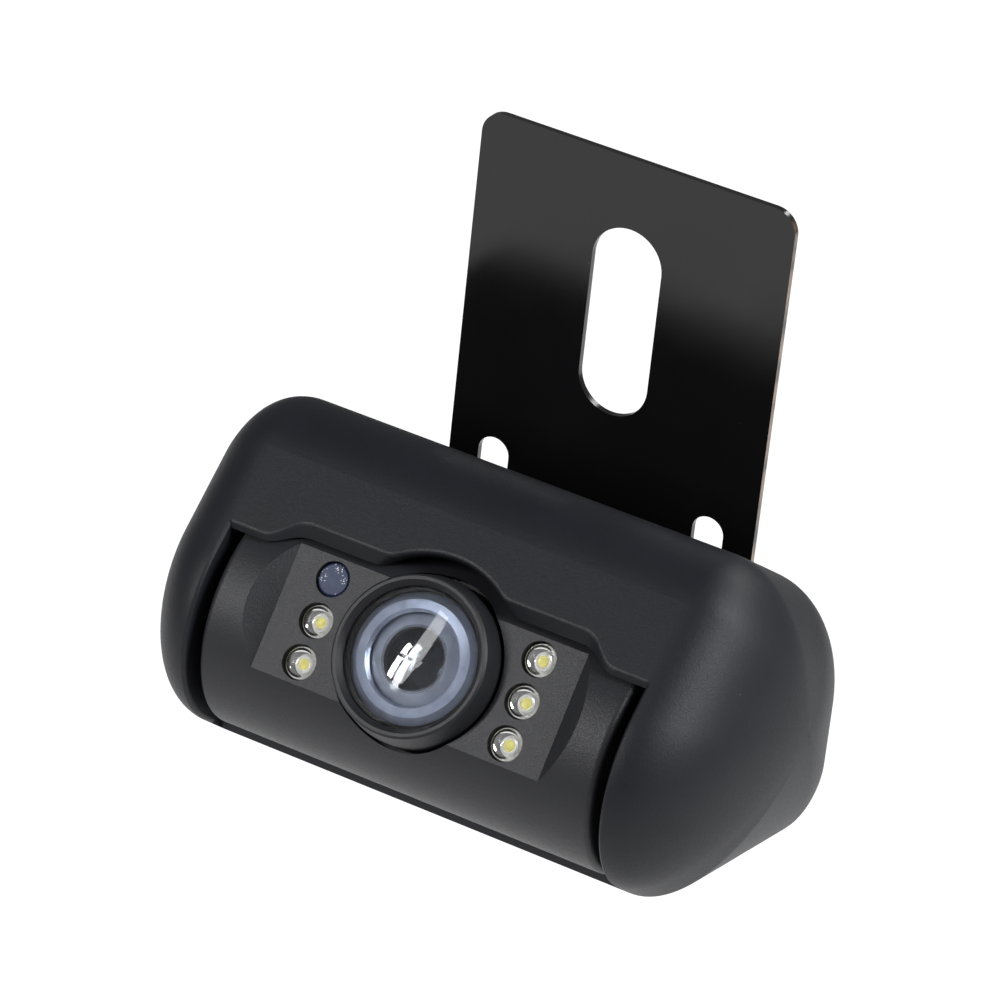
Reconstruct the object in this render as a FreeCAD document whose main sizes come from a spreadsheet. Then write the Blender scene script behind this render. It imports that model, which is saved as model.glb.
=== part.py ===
import FreeCAD, Part
import math
import os
import Sketcher

# A backup camera for the back of a truck or trailer: a camera drum that tilts
# between the cheeks of a domed hood, which hangs on a slotted sheet-steel bracket.
#
# Frame: millimetres, +Z up, +Y towards the vehicle, -Y the way the camera looks.
# The origin is the centre of the bracket's large slot, on the bracket's back face.
# The drum's own pieces are drawn in the drum frame: X along the tilt axis, Z out
# along the lens, Y up across the LED panel, with the origin on the tilt axis.

DIMENSIONS = [
    # bracket
    ("plate_width", 50.0, "bracket, side to side"),
    ("plate_thick", 1.0, "bracket sheet"),
    ("plate_top", 25.5, "bracket's top edge above the slot centre"),
    ("plate_bottom", -52.5, "bracket's bottom edge"),
    ("plate_corner", 3.5, "corner radius"),
    ("slot_half_width", 5.55, "large slot"),
    ("slot_reach", 14.75, "large slot, centre to end"),
    ("rail_x", 17.7, "small slots, off centre"),
    ("rail_half_width", 2.5, "small slots"),
    ("rail_top", -25.1, "small slots, top end"),
    ("rail_bottom", -49.2, "small slots, bottom end"),
    # hood: circles whose hull is the side profile (y, z, radius)
    ("pivot_y", -38.7, "tilt axis"),
    ("pivot_z", -40.8, "tilt axis"),
    ("face_radius", 18.4, "cheek front, about the tilt axis"),
    ("back_y", -23.7, "back circle"),
    ("back_z", -42.3, "back circle"),
    ("back_radius", 22.7, "back circle"),
    ("crown_y", -30.5, "crown circle"),
    ("crown_z", -24.4, "crown circle"),
    ("crown_radius", 11.7, "crown circle"),
    ("chin_y", -42.4, "chin circle"),
    ("chin_z", -57.3, "chin circle"),
    ("chin_radius", 3.0, "chin circle"),
    ("heel_y", -8.4, "heel circle"),
    ("heel_z", -59.8, "heel circle"),
    ("heel_radius", 7.4, "heel circle"),
    ("mouth_half", 33.2, "inner faces of the cheeks"),
    ("cheek_wall", 2.2, "cheek wall that carries the pivot"),
    ("dome_height", 14.0, "how far each cheek bulges outwards"),
    ("dome_y", -23.1, "middle of the cheek's dome"),
    ("dome_z", -39.5, "middle of the cheek's dome"),
    ("hood_wall", 2.0, "hood wall"),
    ("seam_y", -4.5, "plane between the hood shell and its rear cover"),
    ("drum_room", 18.1, "clearance cut round the drum"),
    ("lip_low_y", -47.3, "front of the lip beside the cheeks"),
    ("lip_high_y", -44.6, "front of the lip over the LED panel"),
    ("lip_low_x", 26.8, "where the lip starts to step back"),
    ("lip_high_x", 23.0, "where the lip has stepped back"),
    ("sill_y", -45.5, "front of the lower lip"),
    ("notch_radius", 14.6, "notch in the lip for the lens bezel"),
    ("lip_round", 0.7, "rounding of the lip's and cheeks' front edges"),
    ("lip_bend", 4.5, "bends of the lip where it steps back"),
    ("notch_bend", 1.5, "bends of the lip where it meets the notch"),
    # rear cover fasteners
    ("cover_screw_x", 32.3, "rear cover screws"),
    ("cover_screw_top", -37.0, "upper rear cover screws"),
    ("cover_screw_low", -57.0, "lower rear cover screws"),
    ("bracket_screw_z", -46.0, "screws in the small slots"),
    # drum
    ("drum_radius", 17.5, "camera drum"),
    ("drum_half", 31.5, "camera drum, half length"),
    ("drum_wall", 2.0, "drum wall"),
    ("drum_round", 1.0, "rounding of the drum's ends"),
    ("drum_tilt", 36.56, "lens axis above level, as drawn"),
    ("drum_split", -4.0, "plane between the drum's two shells"),
    ("panel_level", 14.85, "flat LED panel from the tilt axis"),
    ("panel_half", 23.0, "flat LED panel, half width"),
    ("panel_slope", 0.8, "rise of the panel's end facets"),
    ("well_radius", 12.6, "hole for the lens bezel"),
    ("well_wall", 1.0, "wall of the lens well"),
    ("well_floor", 8.5, "top of the lens well's floor"),
    ("well_floor_thick", 1.5, "floor of the lens well"),
    ("bezel_radius", 12.05, "lens bezel at the panel"),
    ("bezel_rim_radius", 11.4, "lens bezel at its rim"),
    ("bezel_rise", 3.7, "lens bezel above the panel"),
    ("glass_radius", 9.85, "cover glass"),
    ("glass_thick", 1.2, "edge of the cover glass"),
    ("glass_level", 16.3, "underside of the cover glass"),
    ("glass_ball", 20.0, "radius of the cover glass's dome"),
    ("glass_ball_centre", 0.1, "height of that dome's centre"),
    ("led_x", 16.5, "LED columns"),
    ("led_pitch", 6.16, "LED rows"),
    ("led_radius", 2.5, "5 mm LED"),
    ("led_seat", 8.0, "top of the LED boards"),
    ("drum_screw_x", 25.6, "drum screws"),
    ("drum_screw_y", 10.0, "drum screws"),
    ("barrel_radius", 6.0, "M12 lens barrel"),
]

doc = FreeCAD.newDocument("BackupCamera")
sheet = doc.addObject("Spreadsheet::Sheet", "Sheet")
for row, (alias, number, meaning) in enumerate(DIMENSIONS, start=1):
    sheet.set("A%d" % row, alias)
    sheet.set("B%d" % row, str(number))
    sheet.set("C%d" % row, meaning)
    sheet.setAlias("B%d" % row, alias)
doc.recompute()


class Size:
    """A length that carries its value and the sheet expression that gives it."""

    def __init__(self, value, text):
        self.value = value
        self.text = text

    def __add__(self, other):
        other = size(other)
        return Size(self.value + other.value, "(%s + %s)" % (self.text, other.text))

    def __sub__(self, other):
        other = size(other)
        return Size(self.value - other.value, "(%s - %s)" % (self.text, other.text))

    def __mul__(self, other):
        other = size(other)
        return Size(self.value * other.value, "(%s * %s)" % (self.text, other.text))

    def __truediv__(self, other):
        other = size(other)
        return Size(self.value / other.value, "(%s / %s)" % (self.text, other.text))

    def __neg__(self):
        return Size(-self.value, "(0 - %s)" % self.text)

    __radd__ = __add__
    __rmul__ = __mul__

    def __rsub__(self, other):
        return size(other) - self


def size(number):
    """The number as a Size, unless it is one."""
    if isinstance(number, Size):
        return number
    return Size(float(number), "%.4f" % number)


class Cells:
    """The sheet's cells as attributes: cells.plate_width is a Size."""

    def __getattr__(self, alias):
        return Size(float(sheet.get(alias)), "Sheet." + alias)


cells = Cells()
subparts = {}


def put(target, prop, length):
    """Bind a property to a size."""
    target.setExpression(prop, size(length).text)


def keep(thing, label, placement=None):
    """Name a finished sub-part, and place it."""
    thing.Label = label
    if placement is not None:
        thing.Placement = placement
    subparts[label] = thing
    return thing


def drum_frame():
    """The drum frame's place: Z along the lens, origin on the tilt axis."""
    turn = FreeCAD.Rotation(FreeCAD.Vector(1, 0, 0), 90 - cells.drum_tilt.value)
    axis = FreeCAD.Vector(0, cells.pivot_y.value, cells.pivot_z.value)
    return FreeCAD.Placement(axis, turn)


# ---------------------------------------------------------------- primitives

TURNS = {
    "Z": FreeCAD.Rotation(),
    "X": FreeCAD.Rotation(FreeCAD.Vector(0, 1, 0), 90),
    "Y": FreeCAD.Rotation(FreeCAD.Vector(1, 0, 0), -90),
}


def set_place(thing, at, axis="Z"):
    """Stand a primitive at a point, with its own Z along the given axis."""
    thing.Placement = FreeCAD.Placement(FreeCAD.Vector(), TURNS[axis])
    for letter, length in zip("xyz", at):
        put(thing, "Placement.Base." + letter, length)


def cylinder(name, radius, height, at=(0, 0, 0), axis="Z"):
    """A cylinder from its base point along +axis."""
    thing = doc.addObject("Part::Cylinder", name)
    put(thing, "Radius", radius)
    put(thing, "Height", height)
    set_place(thing, at, axis)
    return thing


def box(name, low, high):
    """A box between two corners."""
    thing = doc.addObject("Part::Box", name)
    for prop, start, end in zip(("Length", "Width", "Height"), low, high):
        put(thing, prop, size(end) - size(start))
    set_place(thing, low)
    return thing


def sphere(name, radius, height):
    """A sphere centred on the Z axis."""
    thing = doc.addObject("Part::Sphere", name)
    put(thing, "Radius", radius)
    set_place(thing, (0, 0, height))
    return thing


def join(name, things):
    """One solid out of several."""
    thing = doc.addObject("Part::MultiFuse", name)
    thing.Shapes = things
    return thing


def shared(name, first, second):
    """What two shapes have in common."""
    thing = doc.addObject("Part::Common", name)
    thing.Base = first
    thing.Tool = second
    return thing


def cut(name, base, tools):
    """The base with every tool taken away."""
    thing = doc.addObject("Part::Cut", name)
    thing.Base = base
    thing.Tool = tools[0] if len(tools) == 1 else join(name + "_tools", tools)
    return thing


def group(name, things):
    """Several separate solids as one node."""
    thing = doc.addObject("Part::Compound", name)
    thing.Links = things
    return thing


# ------------------------------------------------------- bodies with sketches

def new_body(name):
    """An empty PartDesign body."""
    return doc.addObject("PartDesign::Body", name)


def new_sketch(body, name, plane):
    """A sketch on one of its body's origin planes."""
    sketch = body.newObject("Sketcher::SketchObject", name)
    support = [item for item in body.Origin.OriginFeatures if item.Role == plane]
    sketch.AttachmentSupport = [(support[0], "")]
    sketch.MapMode = "FlatFace"
    return sketch


def pin_down(sketch, geometry, vertex, across, upward):
    """Fix a sketch vertex at sizes from the sketch's origin."""
    for kind, length, axis in (("DistanceX", across, -2), ("DistanceY", upward, -1)):
        length = size(length)
        if abs(length.value) < 1e-9:
            rule = Sketcher.Constraint("PointOnObject", geometry, vertex, axis)
            sketch.addConstraint(rule)
            continue
        rule = Sketcher.Constraint(kind, -1, 1, geometry, vertex, length.value)
        index = sketch.addConstraint(rule)
        sketch.setExpression("Constraints[%d]" % index, length.text)


def draw_outline(sketch, points):
    """A closed outline of straight edges, every corner fixed."""
    corners = [(size(across), size(upward)) for across, upward in points]
    count = len(corners)
    first = sketch.GeometryCount
    spots = [FreeCAD.Vector(across.value, upward.value, 0) for across, upward in corners]
    for index in range(count):
        line = Part.LineSegment(spots[index], spots[(index + 1) % count])
        sketch.addGeometry(line, False)
    for index in range(count):
        following = first + (index + 1) % count
        rule = Sketcher.Constraint("Coincident", first + index, 2, following, 1)
        sketch.addConstraint(rule)
    for index, (across, upward) in enumerate(corners):
        pin_down(sketch, first + index, 1, across, upward)


def draw_circle(sketch, across, upward, radius):
    """A full circle with its centre and radius fixed."""
    centre = FreeCAD.Vector(size(across).value, size(upward).value, 0)
    circle = Part.Circle(centre, FreeCAD.Vector(0, 0, 1), size(radius).value)
    geometry = sketch.addGeometry(circle, False)
    pin_down(sketch, geometry, 3, across, upward)
    rule = Sketcher.Constraint("Radius", geometry, size(radius).value)
    index = sketch.addConstraint(rule)
    sketch.setExpression("Constraints[%d]" % index, size(radius).text)


def draw_slot(sketch, across, low, high, radius):
    """An upright slot with round ends, between its end centres."""
    across, low, high, radius = size(across), size(low), size(high), size(radius)
    up = FreeCAD.Vector(0, 0, 1)
    top = FreeCAD.Vector(across.value, high.value, 0)
    bottom = FreeCAD.Vector(across.value, low.value, 0)
    side = FreeCAD.Vector(radius.value, 0, 0)
    first = sketch.GeometryCount
    sketch.addGeometry(Part.ArcOfCircle(Part.Circle(top, up, radius.value), 0, math.pi), False)
    sketch.addGeometry(Part.ArcOfCircle(Part.Circle(bottom, up, radius.value), math.pi, 2 * math.pi), False)
    sketch.addGeometry(Part.LineSegment(top + side, bottom + side), False)
    sketch.addGeometry(Part.LineSegment(top - side, bottom - side), False)
    upper, lower, right, left = range(first, first + 4)
    touching = ((upper, 1, right, 1), (upper, 2, left, 1), (right, 2, lower, 2), (left, 2, lower, 1))
    for rule in touching:
        sketch.addConstraint(Sketcher.Constraint("Tangent", *rule))
    sketch.addConstraint(Sketcher.Constraint("Equal", upper, lower))
    pin_down(sketch, upper, 3, across, high)
    pin_down(sketch, lower, 3, across, low)
    index = sketch.addConstraint(Sketcher.Constraint("Radius", upper, radius.value))
    sketch.setExpression("Constraints[%d]" % index, radius.text)


def turned(label, outline):
    """A body turned about its Z axis from an outline of (radius, height)."""
    body = new_body(label)
    sketch = new_sketch(body, label + "_outline", "XZ_Plane")
    draw_outline(sketch, outline)
    lathe = body.newObject("PartDesign::Revolution", label + "_turned")
    lathe.Profile = sketch
    lathe.ReferenceAxis = (sketch, ["V_Axis"])
    lathe.Angle = 360
    sketch.Visibility = False
    return body


def padded(label, plane, draw, depth, midplane=False):
    """A body padded from one sketch, which draw(sketch) fills in."""
    body = new_body(label)
    sketch = new_sketch(body, label + "_outline", plane)
    draw(sketch)
    pad = body.newObject("PartDesign::Pad", label + "_pad")
    pad.Profile = sketch
    put(pad, "Length", depth)
    if midplane:
        pad.SideType = "Symmetric"
    return body


def pocket(body, label, plane, draw, depth, backwards=False):
    """A pocket in a body, from one sketch that draw(sketch) fills in."""
    doc.recompute()
    before = body.Shape.Volume
    sketch = new_sketch(body, label + "_outline", plane)
    draw(sketch)
    feature = body.newObject("PartDesign::Pocket", label)
    feature.Profile = sketch
    put(feature, "Length", depth)
    feature.Reversed = backwards
    doc.recompute()
    if not body.Shape.Volume < before - 0.01:
        raise RuntimeError(label + " cuts nothing")
    return feature


def rounded(body, label, edges, radius):
    """Round the named edges of a body's last feature."""
    before = body.Tip
    fillet = body.newObject("PartDesign::Fillet", label)
    fillet.Base = (before, edges)
    put(fillet, "Radius", radius)
    body.Tip = fillet


# --------------------------------------------------------------------- bracket

def make_bracket():
    """The sheet-steel plate: one large slot, and two small ones for height."""
    half = cells.plate_width / 2
    corners = [(-half, cells.plate_bottom), (half, cells.plate_bottom),
               (half, cells.plate_top), (-half, cells.plate_top)]
    body = padded("bracket_plate", "XZ_Plane", lambda s: draw_outline(s, corners), cells.plate_thick)

    def slots(sketch):
        reach = cells.slot_reach - cells.slot_half_width
        draw_slot(sketch, 0, -reach, reach, cells.slot_half_width)
        low = cells.rail_bottom + cells.rail_half_width
        high = cells.rail_top - cells.rail_half_width
        for side in (-1, 1):
            draw_slot(sketch, cells.rail_x * side, low, high, cells.rail_half_width)

    pocket(body, "bracket_slots", "XZ_Plane", slots, cells.plate_thick, backwards=True)
    upright = [
        "Edge%d" % (index + 1)
        for index, edge in enumerate(body.Shape.Edges)
        if edge.Length < cells.plate_thick.value + 1e-6
        and abs(abs(edge.CenterOfMass.x) - half.value) < 1e-6
    ]
    rounded(body, "bracket_corners", upright, cells.plate_corner)
    keep(body, "bracket_plate")


# ------------------------------------------------------------------------ hood

def hood_circles(inset):
    """The circles round which the hood's side profile is stretched, in order."""
    names = ("back", "crown", "face", "chin", "heel")
    circles = []
    for name in names:
        place = "pivot" if name == "face" else name
        centre = FreeCAD.Vector(0, sheet.get(place + "_y"), sheet.get(place + "_z"))
        circles.append((centre, sheet.get(name + "_radius") - inset))
    return circles


def outward(first, second):
    """Outward normal of the line that touches two circles on the hull's outside."""
    (start, start_radius), (end, end_radius) = first, second
    along = end - start
    span = along.Length
    along.normalize()
    across = FreeCAD.Vector(0, along.z, -along.y)
    lean = (start_radius - end_radius) / span
    return along * lean + across * math.sqrt(1 - lean * lean)


def hood_edges(inset):
    """The side profile at x = 0: touching lines and the arcs between them."""
    circles = hood_circles(inset)
    count = len(circles)
    normals = [outward(circles[i], circles[(i + 1) % count]) for i in range(count)]
    edges = []
    for index, (centre, radius) in enumerate(circles):
        arrive = normals[index - 1]
        leave = normals[index]
        middle = arrive + leave
        middle.normalize()
        start = centre + arrive * radius
        end = centre + leave * radius
        edges.append(Part.Arc(start, centre + middle * radius, end).toShape())
        following, following_radius = circles[(index + 1) % count]
        edges.append(Part.LineSegment(end, following + leave * following_radius).toShape())
    return edges


def domed_face(edge, base, height, centre):
    """One patch of a cheek's dome: the edge drawn in to the dome's tip on an ellipse."""
    curve = edge.Curve.toBSpline(edge.FirstParameter, edge.LastParameter)
    spots = curve.getPoles()
    weights = curve.getWeights()
    corner = math.sqrt(0.5)
    # a quarter ellipse as a rational curve: (how wide, how far out, weight)
    quarter = ((1, 0, 1), (1, 1, corner), (0, 1, 1))
    rows = []
    row_weights = []
    for wide, out, weight in quarter:
        x = base + height * out
        row = [FreeCAD.Vector(x, centre.y + wide * (spot.y - centre.y), centre.z + wide * (spot.z - centre.z))
               for spot in spots]
        rows.append(row)
        row_weights.append([weight * other for other in weights])
    surface = Part.BSplineSurface()
    surface.buildFromPolesMultsKnots(
        rows, [3, 3], curve.getMultiplicities(), [0, 1], curve.getKnots(),
        False, False, 2, curve.Degree, row_weights)
    return surface.toShape()


def hood_form(inset):
    """The hood's outer form, or its inside when inset by the wall."""
    half = sheet.get("mouth_half")
    height = sheet.get("dome_height") - inset
    centre = FreeCAD.Vector(0, sheet.get("dome_y"), sheet.get("dome_z"))
    faces = []
    for edge in hood_edges(inset):
        side = edge.copy()
        side.translate(FreeCAD.Vector(-half, 0, 0))
        faces.append(side.extrude(FreeCAD.Vector(2 * half, 0, 0)))
        dome = domed_face(edge, half, height, centre)
        faces.append(dome)
        faces.append(dome.mirror(FreeCAD.Vector(), FreeCAD.Vector(1, 0, 0)))
    skin = Part.makeCompound(faces)
    skin.sewShape()
    solid = Part.makeSolid(skin.Shells[0])
    if solid.Volume < 0:
        solid.reverse()
    return solid


def solid_box(low, high):
    """A plain box shape between two corners."""
    corner = FreeCAD.Vector(*low)
    span = FreeCAD.Vector(*high) - corner
    return Part.makeBox(span.x, span.y, span.z, corner)


def rod(radius, start, end):
    """A plain cylinder shape between two points."""
    start = FreeCAD.Vector(*start)
    along = FreeCAD.Vector(*end) - start
    return Part.makeCylinder(radius, along.Length, start, along)


FAR = 100.0  # well past every face of the camera


def mouth_cutters():
    """Everything taken from the front of the hood, so that the drum shows and turns."""
    half = sheet.get("mouth_half")
    axis = (sheet.get("pivot_y"), sheet.get("pivot_z"))
    low_y = sheet.get("lip_low_y")
    high_y = sheet.get("lip_high_y")
    low_x = sheet.get("lip_low_x")
    high_x = sheet.get("lip_high_x")
    drum = rod(sheet.get("drum_room"), (-half, *axis), (half, *axis))
    front = solid_box((-half, -FAR, -FAR), (half, low_y, FAR))
    below = solid_box((-half, -FAR, -FAR), (half, sheet.get("sill_y"), axis[1]))
    step = [(-half, low_y), (-low_x, low_y), (-high_x, high_y), (high_x, high_y), (low_x, low_y), (half, low_y),
            (half, -FAR), (-half, -FAR)]
    corners = [FreeCAD.Vector(x, y, axis[1]) for x, y in step]
    brow = Part.Face(Part.makePolygon(corners + corners[:1])).extrude(FreeCAD.Vector(0, 0, FAR))
    bends = [edge for edge in brow.Edges
             if abs(edge.CenterOfMass.x) < low_x + 0.1 and edge.Vertexes[0].X == edge.Vertexes[1].X]
    brow = brow.makeFillet(sheet.get("lip_bend"), bends)
    notch = Part.makeCylinder(sheet.get("notch_radius"), FAR)
    notch.Placement = drum_frame()
    return [drum, front, below, brow, notch]


def floor_frame():
    """The grommet's place: Z outwards through the middle of the hood's floor."""
    circles = hood_circles(0)
    chin, heel = circles[3], circles[4]
    normal = outward(chin, heel)
    start = chin[0] + normal * chin[1]
    end = heel[0] + normal * heel[1]
    turn = FreeCAD.Rotation(FreeCAD.Vector(0, 0, 1), normal)
    return FreeCAD.Placement((start + end) * 0.5, turn)


def cover_screw_places():
    """Where the rear cover's screws stand: (x, z)."""
    x = sheet.get("cover_screw_x")
    heights = (sheet.get("cover_screw_top"), sheet.get("cover_screw_low"))
    return [(side * x, z) for side in (-1, 1) for z in heights]


COVER_BOSS = 3.2
COVER_PILOT = 1.15
COVER_BOSS_END = -14.0
COVER_HEAD_SEAT = -3.7
COVER_HEAD_ROOM = 2.7
INSERT_RADIUS = 2.9
INSERT_START = -10.0
BRACKET_BOSS = 4.8
BUSH_RADIUS = 3.5
GROMMET_NECK = 4.2


def make_hood_shell(outer, inside):
    """The moulded hood: skin, two cheek walls and the rear cover's screw bosses."""
    half = sheet.get("mouth_half")
    wall_end = half + sheet.get("cheek_wall")
    seam = sheet.get("seam_y")
    axis = (sheet.get("pivot_y"), sheet.get("pivot_z"))
    bosses = [rod(COVER_BOSS, (x, COVER_BOSS_END, z), (x, 0, z)) for x, z in cover_screw_places()]
    reaches = ((-FAR, -wall_end), (-half, half), (wall_end, FAR))
    rooms = [inside.common(solid_box((low, -FAR, -FAR), (high, FAR, FAR))) for low, high in reaches]
    hollows = [room.cut(bosses) for room in rooms]
    shell = outer.cut(hollows)
    shell = shell.cut([solid_box((-FAR, seam, -FAR), (FAR, FAR, FAR))])
    shell = shell.cut(mouth_cutters())
    holes = [rod(BUSH_RADIUS, (side * (half - 1), *axis), (side * (wall_end + 1), *axis)) for side in (-1, 1)]
    holes += [rod(COVER_PILOT, (x, COVER_BOSS_END + 1, z), (x, 0, z)) for x, z in cover_screw_places()]
    outlet = rod(GROMMET_NECK, (0, 0, -5), (0, 0, 5))
    outlet.Placement = floor_frame().multiply(outlet.Placement)
    shell = shell.cut(holes + [outlet]).removeSplitter()
    shell = shell.makeFillet(sheet.get("notch_bend"), notch_corners(shell))
    shell = shell.makeFillet(sheet.get("lip_round"), lip_rims(shell, outer))
    return shell.cut([cheek_round(-1), cheek_round(1)])


def notch_corners(shell):
    """The two edges where the lens notch runs into the lip's front face."""
    high_y = sheet.get("lip_high_y")
    corners = []
    for edge in shell.Edges:
        middle = edge.valueAt((edge.FirstParameter + edge.LastParameter) / 2)
        low, high = sorted(vertex.Z for vertex in edge.Vertexes) if len(edge.Vertexes) == 2 else (0, 0)
        on_lip = all(abs(vertex.Y - high_y) < 1e-3 for vertex in edge.Vertexes)
        if on_lip and abs(middle.x) < sheet.get("notch_radius") and middle.z > -30 and high - low > 1:
            corners.append(edge)
    return corners


def lip_rims(shell, outer):
    """The edges along the lip where its front meets the hood's outside."""
    half = sheet.get("mouth_half")
    skin = outer.Shells[0]
    ahead, behind = sheet.get("lip_low_y") - 0.1, sheet.get("pivot_y") - 1
    rims = []
    for edge in shell.Edges:
        middle = edge.valueAt((edge.FirstParameter + edge.LastParameter) / 2)
        inside = abs(middle.x) < half - 0.1 and ahead < middle.y < behind
        if inside and middle.z > sheet.get("pivot_z") and skin.distToShape(Part.Vertex(middle))[0] < 1e-4:
            rims.append(edge)
    return rims


def cheek_round(side):
    """What lies outside a flared profile: taken from a cheek's front edge to round it."""
    half = sheet.get("mouth_half")
    radius = sheet.get("lip_round")
    rings = []
    for step in range(5):
        angle = math.radians(22.5 * step)
        ring = Part.Wire(hood_edges(radius * (1 - math.sin(angle))))
        ring.translate(FreeCAD.Vector(side * (half + radius * (1 - math.cos(angle))), 0, 0))
        rings.append(ring)
    flare = Part.makeLoft(rings, True, True)
    low, high = sorted((side * half, side * (half + radius)))
    edge = solid_box((low, -FAR, -FAR), (high, sheet.get("lip_low_y"), FAR))
    return edge.cut(flare)


def make_rear_cover(outer, inside):
    """The dished rear cover, with a boss for each bracket screw's insert."""
    seam = sheet.get("seam_y")
    behind = solid_box((-FAR, seam, -FAR), (FAR, FAR, FAR))
    cover = outer.common(behind).cut(inside)
    rail = sheet.get("rail_x")
    z = sheet.get("bracket_screw_z")
    back = -sheet.get("plate_thick")
    inner_wall = back - sheet.get("hood_wall")
    bosses = []
    bores = []
    for side in (-1, 1):
        x = side * rail
        bosses.append(rod(BRACKET_BOSS, (x, INSERT_START, z), (x, inner_wall + 0.5, z)))
        bores.append(rod(INSERT_RADIUS, (x, INSERT_START - 1, z), (x, inner_wall, z)))
        bores.append(rod(2.15, (x, INSERT_START, z), (x, 0, z)))
    for x, z in cover_screw_places():
        bores.append(rod(1.35, (x, -FAR, z), (x, 0, z)))
        bores.append(rod(COVER_HEAD_ROOM, (x, COVER_HEAD_SEAT, z), (x, 0, z)))
    return cover.fuse(bosses).cut(bores)


def make_hood():
    """The hood's two mouldings, which share one free-form outer surface."""
    outer = hood_form(0)
    inside = hood_form(sheet.get("hood_wall"))
    shell = doc.addObject("Part::Feature", "hood_shell")
    shell.Shape = make_hood_shell(outer, inside)
    keep(shell, "hood_shell")
    cover = doc.addObject("Part::Feature", "rear_cover")
    cover.Shape = make_rear_cover(outer, inside)
    keep(cover, "rear_cover")


def tube_outline(inner, outer, low, high):
    """The outline of a plain ring."""
    return [(inner, low), (outer, low), (outer, high), (inner, high)]


def screw(name, shank, reach, head, head_height, at, axis, socket):
    """A screw whose head stands on the point at, with its shank behind it."""
    base = size(0)
    parts = [cylinder(name + "_head", head, head_height),
             cylinder(name + "_shank", shank, reach + base, (0, 0, -size(reach)))]
    solid = join(name + "_blank", parts)
    drive = doc.addObject("Part::Prism", name + "_socket")
    drive.Polygon = 6
    put(drive, "Circumradius", socket)
    put(drive, "Height", head_height)
    set_place(drive, (0, 0, size(head_height) * 0.4))
    finished = cut(name, solid, [drive])
    set_place(finished, at, axis)
    return finished


def make_hood_hardware():
    """Inserts, screws and washers between bracket and hood, and the cover's screws."""
    sides = (("left", -1), ("right", 1))
    inserts, screws, washers = [], [], []
    for word, side in sides:
        x = cells.rail_x * side
        z = cells.bracket_screw_z
        length = -cells.plate_thick - cells.hood_wall - INSERT_START
        sleeve = cylinder("insert_sleeve_" + word, INSERT_RADIUS, length)
        bore = cylinder("insert_bore_" + word, 2.0, length)
        insert = cut("insert_" + word, sleeve, [bore])
        set_place(insert, (x, INSERT_START, z), "Y")
        inserts.append(insert)
        disc = cylinder("washer_disc_" + word, 4.5, 0.8)
        hole = cylinder("washer_hole_" + word, 2.15, 0.8)
        washer = cut("washer_" + word, disc, [hole])
        set_place(washer, (x, 0, z), "Y")
        washers.append(washer)
        screws.append(screw("bracket_screw_" + word, 1.98, 9.8, 3.5, 2.2, (x, 0.8, z), "Y", 1.45))
    keep(group("bracket_inserts", inserts), "bracket_inserts")
    keep(group("bracket_washers", washers), "bracket_washers")
    keep(group("bracket_screws", screws), "bracket_screws")
    cover_screws = []
    for index, (x, z) in enumerate(cover_screw_places()):
        seat = (x, COVER_HEAD_SEAT, z)
        cover_screws.append(screw("cover_screw_%d" % index, 1.13, 8.6, 2.4, 1.3, seat, "Y", 0.9))
    keep(group("rear_cover_screws", cover_screws), "rear_cover_screws")


def make_grommet():
    """The rubber grommet in the hood's floor, where a cable leaves."""
    wall = cells.hood_wall
    outline = [(2.6, -wall - 1.6), (5.2, -wall - 1.6), (5.6, -wall - 1.2), (5.6, -wall), (GROMMET_NECK, -wall),
               (GROMMET_NECK, 0), (5.6, 0), (5.6, 0.9), (4.9, 1.8), (2.6, 1.8)]
    keep(turned("cable_grommet", outline), "cable_grommet", floor_frame())


# ----------------------------------------------------------------------- drum

def drum_form():
    """The drum's outer form: a cylinder with rounded ends."""
    length = cells.drum_half * 2
    body = padded(
        "drum_form", "YZ_Plane", lambda s: draw_circle(s, 0, 0, cells.drum_radius), length, midplane=True)
    doc.recompute()
    rims = ["Edge%d" % (index + 1) for index, edge in enumerate(body.Shape.Edges)
            if abs(edge.Length - 2 * math.pi * cells.drum_radius.value) < 1e-3]
    rounded(body, "drum_ends", rims, cells.drum_round)
    return body


def drum_rod(name, radius, inset=0):
    """A cylinder along the tilt axis, stopping short of the drum's ends by inset."""
    half = cells.drum_half - inset
    return cylinder(name, radius, half * 2, (-half, 0, 0), "X")


def panel_cutter():
    """The space in front of the LED panel, opening out at the facets."""
    over = 6.0
    level, half = cells.panel_level, cells.panel_half
    wide = half + size(over) / cells.panel_slope
    corners = [(-half, level), (half, level), (wide, level + over), (-wide, level + over)]
    return padded("panel_cutter", "XZ_Plane", lambda s: draw_outline(s, corners), 40, midplane=True)


def at_drum_screws(name, radius, low, high):
    """One cylinder at each drum screw."""
    rods = []
    for index, (side, row) in enumerate(((-1, -1), (-1, 1), (1, -1), (1, 1))):
        spot = (cells.drum_screw_x * side, cells.drum_screw_y * row, low)
        rods.append(cylinder("%s_%d" % (name, index), radius, size(high) - low, spot))
    return rods


PIVOT_BOSS = 5.2
PIVOT_INSERT = 3.2
PIVOT_INSERT_LENGTH = 4.0
DRUM_BOSS = 2.8


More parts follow.
